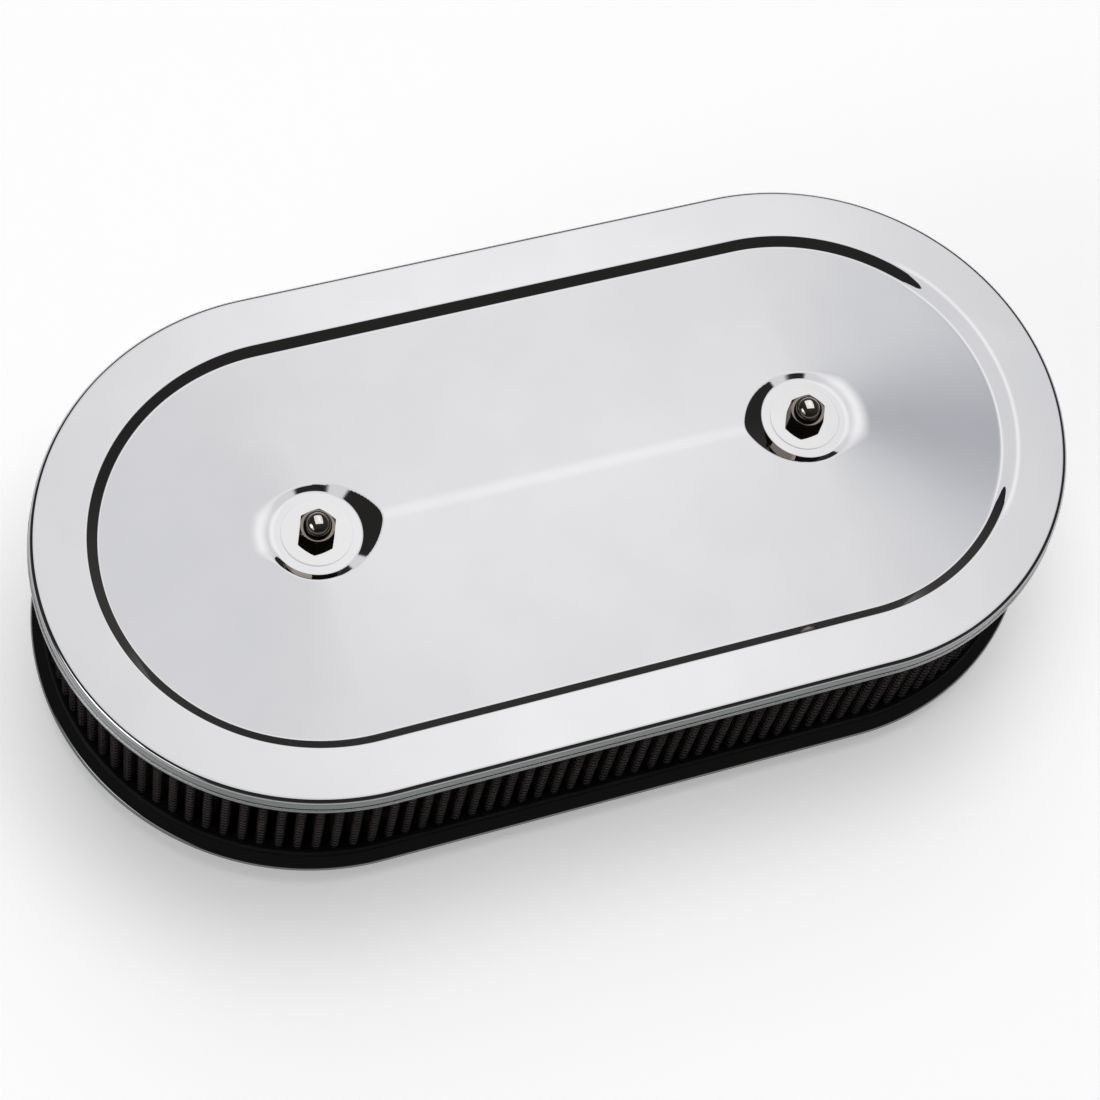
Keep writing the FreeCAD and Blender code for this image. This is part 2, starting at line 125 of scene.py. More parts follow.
light = {
    "panel": 1.20,                # brightness of the big softbox overhead
    "panelLeft": (-0.42, -0.38),  # its soft edges, as sideways over upwards
    "panelRight": (0.77, 0.84),
    "panelFront": (-0.285, -0.255),
    "panelBack": (1.84, 1.92),
    "rightTilt": 0.17,            # how far its right and front edges lean
    "frontTilt": 0.15,
    "card": 0.34,                 # a grey card dims it here, seen in the lid's right end
    "cardCentre": (0.75, 0.40),
    "cardSize": (0.14, 0.17),
    "glow": 0.38,                 # brighter middle of it
    "glowCentre": (0.25, 0.37),
    "glowSize": (0.095, 0.21),
    "side": 1.7,                  # second softbox, low on the left
    "sideAcross": (-1.05, -0.70, 0.12, 0.26),   # its soft edges, as shares of the way left
    "sideRise": (0.24, 0.32, 0.60, 0.72),
    "sideTowards": (-0.88, -0.16, 0.42),
    "dark": 0.033,                # the dark room between the softboxes and the horizon
    "lowDark": 0.075,             # and lower down
    "darkRise": (0.12, 0.50),     # heights of the way from one to the other
    "horizon": 0.30,
    "horizonFall": (0.02, 0.12),
    "lowest": 0.02,               # keeps the ratios small near the horizon
    "cool": (0.90, 0.945, 1.0, 1),
    "warm": (1.0, 0.995, 0.985, 1),
    "darkTint": (1.0, 0.96, 0.90, 1),
    "warmSpan": (0.5, 1.55),      # brightness over which cool turns warm
    "deepSpan": (0.10, 0.35),     # and over which the dark tint goes
    "aim": (0.0, 0.0, 0.09),      # what the lamps point at
    "sideLamp": 1.8,
    "sideLampSize": 0.7,
    "sideLampFar": 1.7,
    "fillLamp": 14.0,
    "fillLampSize": 1.6,
    "fillLampFar": 2.0,
    "fillTowards": (0.08, 0.15, 0.985),
    "floorColour": (0.88, 0.88, 0.88, 1),
    "floorGlow": 0.29,
    "floorHalf": 14,
    "floorDrop": 0.0002,
}


def softBand(tree, value, edges):
    # 1 between the two inner edges, falling to 0 at the two outer ones
    rise = ramp(tree, value, edges[0], edges[1])
    return maths(tree, "MULTIPLY", rise, ramp(tree, value, edges[2], edges[3], 1, 0))


def softSpot(tree, first, second, centre, spread):
    # 1 at a centre, fading out round it
    a = maths(tree, "DIVIDE", maths(tree, "SUBTRACT", first, centre[0]), spread[0])
    b = maths(tree, "DIVIDE", maths(tree, "SUBTRACT", second, centre[1]), spread[1])
    away = maths(tree, "ADD", maths(tree, "MULTIPLY", a, a), maths(tree, "MULTIPLY", b, b))
    return maths(tree, "EXPONENT", maths(tree, "MULTIPLY", away, -0.5))


def makeWorld():
    world = bpy.data.worlds.new("studio")
    bpy.context.scene.world = world
    world.use_nodes = True
    tree = world.node_tree
    tree.nodes.clear()
    spot = addNode(tree, "ShaderNodeTexCoord").outputs["Generated"]
    part = addNode(tree, "ShaderNodeSeparateXYZ")
    feed(tree, spot, part.inputs[0])
    x, y, z = part.outputs
    upwards = maths(tree, "MAXIMUM", z, light["lowest"])
    sideways = maths(tree, "DIVIDE", x, upwards)
    inwards = maths(tree, "DIVIDE", y, upwards)
    panel = ramp(tree, sideways, *light["panelLeft"])
    leaning = maths(tree, "MULTIPLY_ADD", inwards, -light["rightTilt"], sideways)
    panel = maths(tree, "MULTIPLY", panel, ramp(tree, leaning, *light["panelRight"], 1, 0))
    leaning = maths(tree, "MULTIPLY_ADD", sideways, light["frontTilt"], inwards)
    depth = softBand(tree, leaning, (*light["panelFront"], *light["panelBack"]))
    panel = maths(tree, "MULTIPLY", panel, depth)
    card = softSpot(tree, sideways, inwards, light["cardCentre"], light["cardSize"])
    panel = maths(tree, "MULTIPLY", panel, maths(tree, "MULTIPLY_ADD", card, -light["card"], 1.0))
    glow = maths(tree, "MULTIPLY", softSpot(tree, x, y, light["glowCentre"], light["glowSize"]), panel)
    leftwards = maths(tree, "MAXIMUM", maths(tree, "MULTIPLY", x, -1.0), light["lowest"])
    across = softBand(tree, maths(tree, "DIVIDE", y, leftwards), light["sideAcross"])
    rise = softBand(tree, maths(tree, "DIVIDE", z, leftwards), light["sideRise"])
    side = maths(tree, "MULTIPLY", across, rise)
    total = ramp(tree, z, *light["darkRise"], light["lowDark"], light["dark"])
    horizon = ramp(tree, z, *light["horizonFall"], light["horizon"] - light["lowDark"], 0)
    total = maths(tree, "ADD", total, horizon)
    total = maths(tree, "MULTIPLY_ADD", panel, light["panel"], total)
    total = maths(tree, "MULTIPLY_ADD", glow, light["glow"], total)
    total = maths(tree, "MULTIPLY_ADD", side, light["side"], total)
    tint = addNode(tree, "ShaderNodeMix", data_type="RGBA")
    feed(tree, ramp(tree, total, *light["warmSpan"]), tint.inputs["Factor"])
    tint.inputs["A"].default_value = light["cool"]
    tint.inputs["B"].default_value = light["warm"]
    deep = addNode(tree, "ShaderNodeMix", data_type="RGBA")
    feed(tree, ramp(tree, total, *light["deepSpan"]), deep.inputs["Factor"])
    deep.inputs["A"].default_value = light["darkTint"]
    feed(tree, tint.outputs["Result"], deep.inputs["B"])
    back = addNode(tree, "ShaderNodeBackground")
    feed(tree, deep.outputs["Result"], back.inputs["Color"])
    feed(tree, total, back.inputs["Strength"])
    feed(tree, back.outputs[0], addNode(tree, "ShaderNodeOutputWorld").inputs[0])


def makeLamp(name, power, wide, toward, far):
    data = bpy.data.lights.new(name, "AREA")
    data.shape = "DISK"
    data.size = wide
    data.energy = power
    made = bpy.data.objects.new(name, data)
    bpy.context.scene.collection.objects.link(made)
    made.location = toward * far + Vector(light["aim"])
    made.rotation_mode = "QUATERNION"
    made.rotation_quaternion = toward.to_track_quat("Z", "Y")
    return made


def makeFloor():
    mesh = bpy.data.meshes.new("floor")
    half = light["floorHalf"]
    corners = [(-half, -half, 0), (half, -half, 0), (half, half, 0), (-half, half, 0)]
    mesh.from_pydata(corners, [], [(0, 1, 2, 3)])
    made = bpy.data.objects.new("floor", mesh)
    bpy.context.scene.collection.objects.link(made)
    made.location.z = -light["floorDrop"]
    paper = bpy.data.materials.new("paper")
    paper.use_nodes = True
    tree = paper.node_tree
    shader = tree.nodes["Principled BSDF"]
    shader.inputs["Base Color"].default_value = light["floorColour"]
    shader.inputs["Roughness"].default_value = 1
    shader.inputs["Specular IOR Level"].default_value = 0
    ray = addNode(tree, "ShaderNodeLightPath").outputs
    mirrored = maths(tree, "MAXIMUM", ray["Is Glossy Ray"], ray["Is Transmission Ray"])
    seen = maths(tree, "MAXIMUM", ray["Is Camera Ray"], mirrored)
    shader.inputs["Emission Color"].default_value = (1, 1, 1, 1)
    feed(tree, maths(tree, "MULTIPLY", seen, light["floorGlow"]), shader.inputs["Emission Strength"])
    mesh.materials.append(paper)


makeWorld()
sideways = Vector(light["sideTowards"]).normalized()
makeLamp("softbox", light["sideLamp"], light["sideLampSize"], sideways, light["sideLampFar"])
overhead = Vector(light["fillTowards"])
fill = makeLamp("fill", light["fillLamp"], light["fillLampSize"], overhead, light["fillLampFar"])
fill.visible_glossy = False      # it lights the floor and the rubber, and the chrome doesn't show it
makeFloor()
print("light and floor made")


def smudgeGroup():
    # soft smudges that roughen a polished face a little, in patches
    tree, given, out = newGroup(
        "smudges",
        [("Scale", "NodeSocketFloat", 40.0), ("Low", "NodeSocketFloat", 0.03),
         ("High", "NodeSocketFloat", 0.08)],
        [("Roughness", "NodeSocketFloat")],
    )
    spot = addNode(tree, "ShaderNodeTexCoord").outputs["Object"]
    cloud = addNode(tree, "ShaderNodeTexNoise")
    cloud.inputs["Detail"].default_value = 4
    feed(tree, spot, cloud.inputs["Vector"])
    feed(tree, given["Scale"], cloud.inputs["Scale"])
    fine = addNode(tree, "ShaderNodeTexNoise")
    fine.inputs["Detail"].default_value = 2
    feed(tree, spot, fine.inputs["Vector"])
    feed(tree, maths(tree, "MULTIPLY", given["Scale"], 23.0), fine.inputs["Scale"])
    coarse = maths(tree, "MULTIPLY", cloud.outputs["Fac"], 0.65)
    mixed = maths(tree, "MULTIPLY_ADD", fine.outputs["Fac"], 0.35, coarse)
    part = ramp(tree, mixed, 0.32, 0.68)
    spread = maths(tree, "SUBTRACT", given["High"], given["Low"])
    feed(tree, maths(tree, "MULTIPLY_ADD", part, spread, given["Low"]), out["Roughness"])
    return tree


def rippleGroup():
    # the slow waviness of stamped sheet, and a very fine grain on top
    tree, given, out = newGroup(
        "ripple",
        [("Scale", "NodeSocketFloat", 14.0), ("Grain", "NodeSocketFloat", 0.02)],
        [("Height", "NodeSocketFloat")],
    )
    spot = addNode(tree, "ShaderNodeTexCoord").outputs["Object"]
    slow = addNode(tree, "ShaderNodeTexNoise")
    slow.inputs["Detail"].default_value = 1
    feed(tree, spot, slow.inputs["Vector"])
    feed(tree, given["Scale"], slow.inputs["Scale"])
    fine = addNode(tree, "ShaderNodeTexNoise")
    fine.inputs["Detail"].default_value = 1
    fine.inputs["Scale"].default_value = 1400
    feed(tree, spot, fine.inputs["Vector"])
    both = maths(tree, "MULTIPLY_ADD", fine.outputs["Fac"], given["Grain"], slow.outputs["Fac"])
    feed(tree, both, out["Height"])
    return tree


def toneGroup():
    # two near colours mixed in soft patches
    tree, given, out = newGroup(
        "tone",
        [("Scale", "NodeSocketFloat", 30.0), ("First", "NodeSocketColor", None),
         ("Second", "NodeSocketColor", None)],
        [("Color", "NodeSocketColor")],
    )
    cloud = addNode(tree, "ShaderNodeTexNoise")
    cloud.inputs["Detail"].default_value = 5
    feed(tree, addNode(tree, "ShaderNodeTexCoord").outputs["Object"], cloud.inputs["Vector"])
    feed(tree, given["Scale"], cloud.inputs["Scale"])
    blend = addNode(tree, "ShaderNodeMix", data_type="RGBA")
    feed(tree, ramp(tree, cloud.outputs["Fac"], 0.35, 0.65), blend.inputs["Factor"])
    feed(tree, given["First"], blend.inputs["A"])
    feed(tree, given["Second"], blend.inputs["B"])
    feed(tree, blend.outputs["Result"], out["Color"])
    return tree


def blendGroup(name, lowName, highName, coordinate):
    # one colour where a coordinate's height is near 0 and another where it is far from it
    tree, given, out = newGroup(
        name,
        [(lowName, "NodeSocketColor", None), (highName, "NodeSocketColor", None),
         ("Low", "NodeSocketFloat", None), ("High", "NodeSocketFloat", None)],
        [("Color", "NodeSocketColor")],
    )
    part = addNode(tree, "ShaderNodeSeparateXYZ")
    feed(tree, addNode(tree, "ShaderNodeTexCoord").outputs[coordinate], part.inputs[0])
    span = addNode(tree, "ShaderNodeMapRange", interpolation_type="SMOOTHSTEP")
    feed(tree, maths(tree, "ABSOLUTE", part.outputs["Z"]), span.inputs["Value"])
    feed(tree, given["Low"], span.inputs["From Min"])
    feed(tree, given["High"], span.inputs["From Max"])
    blend = addNode(tree, "ShaderNodeMix", data_type="RGBA")
    feed(tree, span.outputs["Result"], blend.inputs["Factor"])
    feed(tree, given[lowName], blend.inputs["A"])
    feed(tree, given[highName], blend.inputs["B"])
    feed(tree, blend.outputs["Result"], out["Color"])
    return tree


smudges = smudgeGroup()
# painted shade: this gives faces that look sideways a darker metal colour, standing in for the darker
# reflections they show
uprightShade = blendGroup("uprightShade", "Upright", "Flat", "Normal")     # by how far up a face looks
# painted shade: this darkens the lower part of a piece, on a nut's hex foot and on the strands' lower ends
heightShade = blendGroup("heightShade", "Foot", "Crown", "Object")           # by the height at rest
ripple = rippleGroup()
tone = toneGroup()


def newMaterial(name):
    made = bpy.data.materials.new(name)
    made.use_nodes = True
    return made, made.node_tree, made.node_tree.nodes["Principled BSDF"]


def addHaze(tree, shader, scale, low, high):
    haze = useGroup(tree, smudges, Scale=scale, Low=low, High=high)
    feed(tree, haze.outputs["Roughness"], shader.inputs["Roughness"])


def addBump(tree, shader, scale, grain, strength, distance):
    wave = useGroup(tree, ripple, Scale=scale, Grain=grain)
    bump = addNode(tree, "ShaderNodeBump")
    bump.inputs["Strength"].default_value = strength
    bump.inputs["Distance"].default_value = distance
    feed(tree, wave.outputs["Height"], bump.inputs["Height"])
    feed(tree, bump.outputs[0], shader.inputs["Normal"])


# painted shade: a nut's colour is darker below these heights
nutCrown = (0.1066, 0.1079)     # heights in metres where a nut's foot gives way to its dome


def polished(name, first, second, low, high, waviness, scale, side=None, sideShadeSpan=(0.15, 0.75), foot=None,
             grazing=None):
    # plated metal: metallic, near mirror, a little wavy; its upright sides and its foot can take a darker
    # colour, which is painted shade
    made, tree, shader = newMaterial(name)
    shader.inputs["Metallic"].default_value = 1
    colour = useGroup(tree, tone, Scale=25.0, First=(*first, 1), Second=(*second, 1))
    if grazing:
        shader.inputs["Specular Tint"].default_value = (*grazing, 1)
    # painted shade: upright faces take the darker side colour
    if side:
        turned = useGroup(tree, uprightShade, Upright=(*side, 1), Low=sideShadeSpan[0], High=sideShadeSpan[1])
        feed(tree, colour.outputs["Color"], turned.inputs["Flat"])
        colour = turned
    # painted shade: below nutCrown the colour turns to the darker foot colour
    if foot:
        raised = useGroup(tree, heightShade, Foot=(*foot, 1), Low=nutCrown[0], High=nutCrown[1])
        feed(tree, colour.outputs["Color"], raised.inputs["Crown"])
        colour = raised
    feed(tree, colour.outputs["Color"], shader.inputs["Base Color"])
    addHaze(tree, shader, 18.0, low, high)
    addBump(tree, shader, scale, 0.02, 1, waviness)
    return made


def moulded(name, first, second, rough, grain, scale, shine=0.35):
    # moulded rubber: dull black with a fine tooth
    made, tree, shader = newMaterial(name)
    colour = useGroup(tree, tone, Scale=60.0, First=(*first, 1), Second=(*second, 1))
    feed(tree, colour.outputs["Color"], shader.inputs["Base Color"])
    addHaze(tree, shader, 50.0, rough - 0.08, rough + 0.08)
    shader.inputs["Specular IOR Level"].default_value = shine
    addBump(tree, shader, scale, 0.6, 0.6, grain)
    return made


# the lid's skirt and other upright faces get a darker colour: painted shade for their darker reflections
lidChrome = polished(
    "lidChrome", (0.515, 0.513, 0.53), (0.53, 0.527, 0.545), 0.02, 0.05, 0.00004, 16.0,
    side=(0.125, 0.142, 0.136),
)
# the base's rim bends and upright faces get a darker colour: painted shade for their darker reflections
baseChrome = polished(
    "baseChrome", (0.50, 0.50, 0.51), (0.52, 0.52, 0.53), 0.05, 0.10, 0.00004, 16.0,
    side=(0.16, 0.17, 0.17), sideShadeSpan=(0.955, 0.995),
)
washerChrome = polished(
    "washerChrome", (0.52, 0.52, 0.53), (0.54, 0.54, 0.545), 0.03, 0.06, 0.00001, 60.0,
)
# the nut's hex and lower body get a dark foot colour under a bright dome: painted shade
nutChrome = polished(
    "nutChrome", (0.60, 0.57, 0.545), (0.66, 0.63, 0.60), 0.05, 0.09, 0.00001, 60.0,
    foot=(0.17, 0.152, 0.132), grazing=(0.30, 0.27, 0.24),
)
studSteel = polished(
    "studSteel", (0.40, 0.40, 0.38), (0.48, 0.47, 0.44), 0.22, 0.38, 0.00002, 300.0,
)
sealRubber = moulded(
    "sealRubber", (0.004, 0.004, 0.004), (0.007, 0.007, 0.007), 0.7, 0.00008, 220.0, shine=0.08,
)
gasketRubber = moulded(
    "gasketRubber", (0.016, 0.016, 0.016), (0.028, 0.027, 0.026), 0.75, 0.00015, 500.0,
)
nutSealRubber = moulded(
    "nutSealRubber", (0.012, 0.012, 0.012), (0.02, 0.02, 0.02), 0.5, 0.00005, 600.0,
)
print("metal and rubber made")


def paint(node, material):
    for holder in nodes[node].material_slots:
        holder.material = material
    if not nodes[node].material_slots:
        nodes[node].data.materials.append(material)


for node in ("top_seal", "bottom_seal"):
    paint(node, sealRubber)
for side in ("left", "right"):
    paint(side + "_nut", nutChrome)
    paint(side + "_nut_seal", nutSealRubber)
    paint(side + "_neck_gasket", gasketRubber)


reach = 107.95 * mm       # from the middle to each stud


def addPiece(name, body, spots, faces, material, ways=None):
    mesh = bpy.data.meshes.new(name)
    mesh.from_pydata(spots, [], faces)
    mesh.materials.append(material)
    mesh.polygons.foreach_set("use_smooth", [True] * len(mesh.polygons))
    if ways:
        mesh.normals_split_custom_set_from_vertices(ways)
    made = bpy.data.objects.new(name, mesh)
    bpy.context.scene.collection.objects.link(made)
    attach(made, body)
    return made


def onOval(along, radius, middle):
    # a place at a distance along the oval of the middle radius, moved to another radius, and its outward way
    straight, bend = 2 * reach, math.pi * middle
    along %= 2 * (straight + bend)
    if along < straight:
        return (-reach + along, -radius), (0, -1)
    if along < straight + bend:
        angle = (along - straight) / middle - math.pi / 2
        centre = reach
    elif along < 2 * straight + bend:
        return (reach - (along - straight - bend), radius), (0, 1)
    else:
        angle = (along - 2 * straight - bend) / middle + math.pi / 2
        centre = -reach
    ways = (math.cos(angle), math.sin(angle))
    return (centre + radius * ways[0], radius * ways[1]), ways


lid = {
    "rimTop": 92.0,               # millimetres here, like all sizes of the lid and the studs
    "panelEdge": 89.0,
    "ridge": 99.5,
    "stepOuter": 92.7,
    "stepInner": 88.4,
    "stepBends": (1.5, 1.7),
    "outer": 116.2,
    "corner": 2.6,
    "hemTop": 84.7,
    "foot": 82.5,
    "hemProud": 0.5,
    "thick": 1.0,
    "ridgeBend": 30.0,
    "seam": 86.0,                 # radius where the roof's mesh meets the edge's
    "endTilt": 17.0,              # degrees that the step seems to lean at the right end
    "endRise": (86.4, 89.6),      # radii where that starts and is whole
    "endFall": (91.6, 95.6),
    "endFade": (27.0, 39.0),      # degrees from the lid's end where it gives way to the full step
    "endTip": 7.0,                # degrees more at the step's edges than along its middle
    "endFacing": 0.5,             # only points that look up more than this are turned
    "seat": 95.7,
    "seatRadius": 18.75,
    "seatBend": 0.35,
    "wall": 0.40,                 # rise over run of the dish's wall towards the middle
    "outerWall": 0.17,            # and at the lid's ends, where it fades out
    "wallFade": (105.0, 150.0),   # degrees from the way to the middle, from one to the other
    "frontFade": (150.0, 176.0),  # and on the left dish's front side
    "mouthBend": (0.16, 1.3),
    "hole": 3.675,
    "polar": 36.0,                # radius round each stud where the rings stop being round
    "outerRings": 12,             # rings from there to the seam, above and below
    "underRings": 6,
    "stepParts": (0.3, 0.4, 0.5, 0.6, 0.7),     # extra points down the step
    "rimPoint": 1.3,              # and on the rim, before the turned points end
}
fan = {
    "ends": 120,                  # ways out from a stud round the roof's end
    "sides": 40,                  # along each straight side, as far as the middle
    "middle": 34,                 # and across the middle line
    "crowding": 1.6,              # how much closer those lie near its centre
}
studX = reach / mm


def smoothStep(value, low, high):
    part = max(0.0, min(1.0, (value - low) / (high - low)))
    return part * part * (3 - 2 * part)


def roofHeight(x, y):
    # the lid's upper face inside the step, with both dishes
    away = math.hypot(max(0.0, abs(x) - studX), y)
    slope = (lid["ridge"] - lid["panelEdge"]) / lid["stepInner"]
    bend = lid["ridgeBend"]
    tangent = math.atan(slope)
    if away < bend * math.sin(tangent):
        drop = bend - math.sqrt(bend * bend - away * away)
        roof = lid["ridge"] - bend * (1 / math.cos(tangent) - 1) - drop
    else:
        roof = lid["ridge"] - slope * away
    dx = studX - abs(x)
    radius = math.hypot(dx, y)
    turn = math.degrees(math.atan2(abs(y), dx))
    fade = smoothStep(turn, *lid["frontFade" if x < 0 and y < 0 else "wallFade"])
    rise = lid["wall"] + (lid["outerWall"] - lid["wall"]) * fade
    bend = lid["seatBend"] * (1 + 3 * fade)
    run = radius - lid["seatRadius"]
    if run < -bend:
        climb = 0.0
    elif run < bend:
        climb = (run + bend) ** 2 / (4 * bend)
    else:
        climb = run
    dish = lid["seat"] + rise * climb
    soft = lid["mouthBend"][0] + (lid["mouthBend"][1] - lid["mouthBend"][0]) * fade
    meet = max(soft - abs(roof - dish), 0) / soft
    return min(roof, dish) - meet * meet * soft / 4


def roofUnder(x, y):
    return roofHeight(x, y) - lid["thick"]


def roofWay(x, y):
    # the outward way of the roof, from its slopes
    tiny = 0.02
    alongX = (roofHeight(x + tiny, y) - roofHeight(x - tiny, y)) / (2 * tiny)
    alongY = (roofHeight(x, y + tiny) - roofHeight(x, y - tiny)) / (2 * tiny)
    return Vector((-alongX, -alongY, 1)).normalized()


def roundedLine(corners):
    # a section's points with their outward ways, from corners of radius, height and bend
    line = []
    for index, (radius, height, bend, steps) in enumerate(corners):
        here = Vector((radius, height))
        before = (here - Vector(corners[index - 1][:2])).normalized() if index else None
        after = (Vector(corners[index + 1][:2]) - here).normalized() if index + 1 < len(corners) else None
        if not bend:
            way = after or before
            line.append((here, Vector((-way.y, way.x))))
            continue
        turn = before.angle_signed(after)
        reachBack = bend * math.tan(abs(turn) / 2)
        side = -1 if turn > 0 else 1
        centre = here - before * reachBack + Vector((-before.y, before.x)) * bend * side
        for step in range(steps + 1):
            angle = -turn * step / steps
            c, s = math.cos(angle), math.sin(angle)
            way = Vector((-before.y, before.x))
            way = Vector((way.x * c - way.y * s, way.x * s + way.y * c))
            line.append((centre - way * bend * side, way))
    return line


def edgeSection():
    low, top, foot, outer = lid["panelEdge"], lid["rimTop"], lid["foot"], lid["outer"]
    thick, proud, hem = lid["thick"], lid["hemProud"], lid["hemTop"]
    first = low + (lid["ridge"] - low) * (1 - lid["seam"] / lid["stepInner"])
    under, over = lid["stepBends"]
    inner = outer - thick
    near = lid["seam"] + 1
    slope = (first - low) / (lid["stepInner"] - lid["seam"])
    wide, high = lid["stepOuter"] - lid["stepInner"], top - low
    return roundedLine([
        (lid["seam"], first, 0, 0), (near, low + slope * (lid["stepInner"] - near), 0, 0),
        (lid["stepInner"], low, under, 7),
        *[(lid["stepInner"] + wide * part, low + high * part, 0, 0) for part in lid["stepParts"]],
        (lid["stepOuter"], top, over, 7),
        (lid["endFall"][1] - lid["rimPoint"], top, 0, 0), (lid["endFall"][1], top, 0, 0),
        (outer, top, lid["corner"], 12), (outer, hem, 0.2, 3), (outer + proud, hem, 0.25, 4),
        (outer + proud, foot, 0.6, 5), (inner, foot, 0.6, 5), (inner, top - thick, lid["corner"] - thick, 5),
        (lid["stepOuter"], top - thick, over, 5), (lid["stepInner"], low - thick, under, 5),
        (lid["seam"], first - thick, 0, 0),
    ])


def roofRays():
    # ways out from a stud's centre, as angles with the distance to the roof's edge or the middle line
    seam, rays = lid["seam"], []
    for step in range(fan["ends"] + 1):
        rays.append((180 * step / fan["ends"] - 90, seam))
    for step in range(1, fan["sides"] + 1):
        x = studX * (1 - step / fan["sides"])
        rays.append((math.degrees(math.atan2(seam, x - studX)), math.hypot(seam, x - studX)))
    for step in range(1, fan["middle"]):
        y = seam * (1 - step / fan["middle"]) ** fan["crowding"]
        rays.append((math.degrees(math.atan2(y, -studX)), math.hypot(y, studX)))
    rays.append((180.0, studX))
    return rays + [(360 - angle, far) for angle, far in reversed(rays[fan["ends"] + 1:-1])]


def seamLoop():
    # the places along the oval where the rays end, once round
    ends = [(studX + lid["seam"] * math.cos(math.radians(angle)), lid["seam"] * math.sin(math.radians(angle)))
            for angle, far in roofRays()[:fan["ends"] + 1]]
    sides = [(studX * (1 - step / fan["sides"]), lid["seam"]) for step in range(1, fan["sides"] + 1)]
    right = [(x, -y) for x, y in reversed(sides)] + ends + sides
    return right + [(-x, -y) for x, y in right[1:-1]]


def newShell():
    return {"spots": [], "ways": [], "known": {}, "faces": []}


def keepSpot(shell, x, y, z, way):
    place = (round(x, 4), round(y, 4), round(z, 4))
    if place not in shell["known"]:
        shell["known"][place] = len(shell["spots"])
        shell["spots"].append((x * mm, y * mm, z * mm))
        shell["ways"].append(way)
    return shell["known"][place]


def addGrid(shell, grid, flipped=False):
    # faces between rows of points that go once round
    for index, row in enumerate(grid):
        after = grid[(index + 1) % len(grid)]
        for step in range(len(row) - 1):
            face = (row[step], row[step + 1], after[step + 1], after[step])
            shell["faces"].append(face[::-1] if flipped else face)


def addPatch(shell, half, radii, outside, height, wayAt, under):
    # a sheet's face from rings round one stud out to the seam
    grid = []
    for angle, far in roofRays():
        column = radii + [radii[-1] + (far - radii[-1]) * step / outside for step in range(1, outside + 1)]
        turn = math.radians(angle)
        row = []
        for radius in column:
            x = half * (studX + radius * math.cos(turn))
            y = radius * math.sin(turn)
            way = wayAt(x, y)
            row.append(keepSpot(shell, x, y, height(x, y), -way if under else way))
        grid.append(row)
    addGrid(shell, grid, (half > 0) == under)
    return grid


def endWay(spot, way, out):
    # the step looks shallower at the lid's right end, where it shows the softbox
    middle, half = (lid["stepOuter"] + lid["stepInner"]) / 2, (lid["stepOuter"] - lid["stepInner"]) / 2
    tip = lid["endTip"] * min(1.0, ((spot.x - middle) / half) ** 2)
    share = 1 - smoothStep(abs(math.degrees(math.atan2(out.y, out.x))) - tip, *lid["endFade"])
    inside = lid["endRise"][0] < spot.x <= lid["endFall"][1]
    if share == 0 or way.y < lid["endFacing"] or not inside:
        return way
    slope = math.degrees(math.atan((lid["ridge"] - lid["panelEdge"]) / lid["stepInner"]))
    tilt = (lid["endTilt"] + slope) * smoothStep(spot.x, *lid["endRise"]) - slope
    tilt = math.radians(tilt * (1 - smoothStep(spot.x, *lid["endFall"])))
    return way.lerp(Vector((-math.sin(tilt), math.cos(tilt))), share).normalized()


def addOvalEdge(shell, section, shape):
    # a section carried round the oval, with its shading ways changed by a function
    grid = []
    for x, y in seamLoop():
        middle = max(-studX, min(studX, x))
        out = Vector((x - middle, y)).normalized()
        column = []
        for spot, way in section:
            way = shape(spot, way, out)
            turned = Vector((out.x * way.x, out.y * way.x, way.y))
            column.append(keepSpot(shell, middle + out.x * spot.x, out.y * spot.x, spot.y, turned))
        grid.append(column)
    addGrid(shell, grid)


def addTurned(shell, half, section, angles):
    # a section turned about one stud
    grid = []
    for angle in angles:
        c, s = math.cos(math.radians(angle)), math.sin(math.radians(angle))
        column = []
        for spot, way in section:
            turned = Vector((half * c * way.x, s * way.x, way.y))
            column.append(keepSpot(shell, half * (studX + c * spot.x), s * spot.x, spot.y, turned))
        grid.append(column)
    addGrid(shell, grid, half < 0)


def finishShell(shell, name, slotName, material, *replaced):
    made = addPiece(name, "housing", shell["spots"], shell["faces"], material, shell["ways"])
    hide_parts(*replaced)
    print(name, "made:", 2 * len(shell["faces"]), "triangles")


def makeLid(material):
    # rings round each stud, closest where the dish's wall bends
    shell = newShell()
    fine = [lid["hole"], 8, 12.5, 15.5, 17.2, 18.0, 18.4, 18.6]
    fine += [18.75 + 0.12 * step for step in range(6)] + [19.6 + 0.4 * step for step in range(27)]
    fine += [31, 33, 34.5, lid["polar"]]
    coarse = [lid["hole"], 10, 17, 18.75, 20, 22, 24, 26, 28, 30, 33, lid["polar"]]
    for half in (1, -1):
        upper = addPatch(shell, half, fine, lid["outerRings"], roofHeight, roofWay, False)
        lower = addPatch(shell, half, coarse, lid["underRings"], roofUnder, roofWay, True)
        addGrid(shell, [(under[0], over[0]) for under, over in zip(lower, upper)], half < 0)
    addOvalEdge(shell, edgeSection(), endWay)
    finishShell(shell, "lid_skin", "lid_chrome", material, "lid")


makeLid(lidChrome)

base = {
    "floor": 21.0,                # millimetres
    "rim": 18.0,
    "foot": 15.7,
    "outer": 117.0,
    "thick": 1.0,
    "bend": 2.0,
    "insideBend": 1.0,
    "bore": 65.5,
    "cup": 71.0,
    "ledge": 4.0,
    "lip": 0.8,
    "patch": 74.0,                # radius round each stud where the floor's mesh starts
    "patchRings": 4,
    "roll": 25.0,                 # degrees that the rim seems to roll over towards its edge
    "rollFrom": (100.0, 110.0),
    "rollPoints": (100.0, 105.0, 110.0),
}


def rimWay(spot, way, out):
    # the rim looks rolled over, so it shows the dark room
    tilt = math.radians(base["roll"] * smoothStep(spot.x, *base["rollFrom"]))
    if tilt == 0 or way.y < math.cos(tilt):
        return way
    return Vector((math.sin(tilt), math.cos(tilt)))


def straightUp(x, y):
    return Vector((0, 0, 1))


